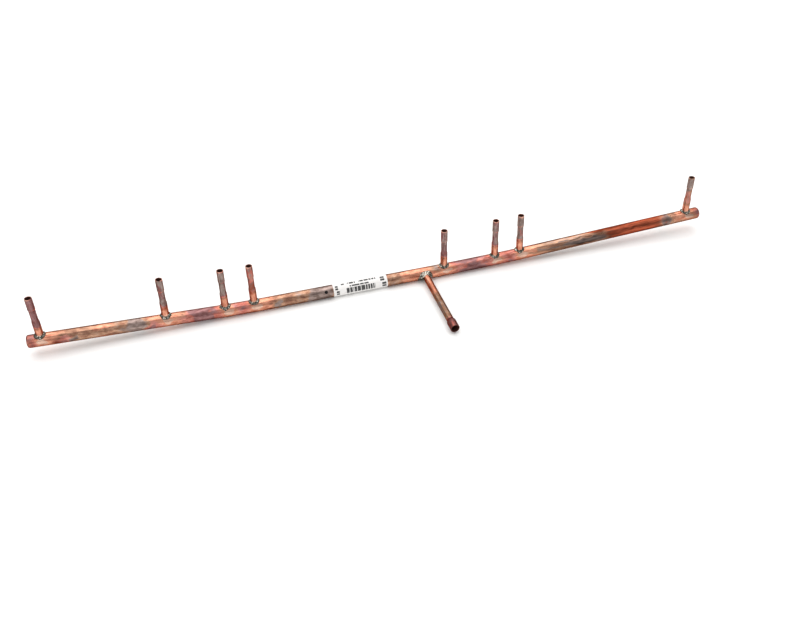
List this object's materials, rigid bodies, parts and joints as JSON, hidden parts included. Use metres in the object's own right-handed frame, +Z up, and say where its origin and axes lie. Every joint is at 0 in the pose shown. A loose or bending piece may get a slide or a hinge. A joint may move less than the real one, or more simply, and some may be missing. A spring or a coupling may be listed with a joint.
{
  "type": "refrigerant header",
  "caption": "Closed copper header tube, slightly bowed, with open branch stubs in a row along its top, one feed pipe on its front and a paper label.",
  "frame": {"origin": "middle of the bounding box's bottom face, under the header tube on the surface that it lies on", "axes": "+X along the header tube's level middle run, towards the end with the longer overhang; +Z up along the branch stubs; -Y out along the feed pipe"},
  "size_m": [1.25, 0.1772, 0.1159],
  "materials": {
    "header_copper": "heat-tinted copper, satin, from bright orange to dull brown",
    "branch_copper": "oxidised copper, satin, brown with a bright foot",
    "feed_copper": "oxidised copper, satin, brown",
    "braze_filler": "silver-grey brazing filler, lumpy, glossy in spots",
    "label_paper": "white label paper with plain black bars"
  },
  "bodies": {
    "root": {"branch_stub_1": "branch_copper", "branch_stub_2": "branch_copper", "branch_stub_3": "branch_copper", "branch_stub_4": "branch_copper", "branch_stub_5": "branch_copper", "branch_stub_6": "branch_copper", "branch_stub_7": "branch_copper", "branch_stub_8": "branch_copper", "feed_braze": "braze_filler", "feed_pipe": "feed_copper", "header_tube": "header_copper", "label": "label_paper", "stub_braze_1": "braze_filler", "stub_braze_2": "braze_filler", "stub_braze_3": "braze_filler", "stub_braze_4": "braze_filler", "stub_braze_5": "braze_filler", "stub_braze_6": "braze_filler", "stub_braze_7": "braze_filler", "stub_braze_8": "braze_filler"}
  },
  "joints": []
}
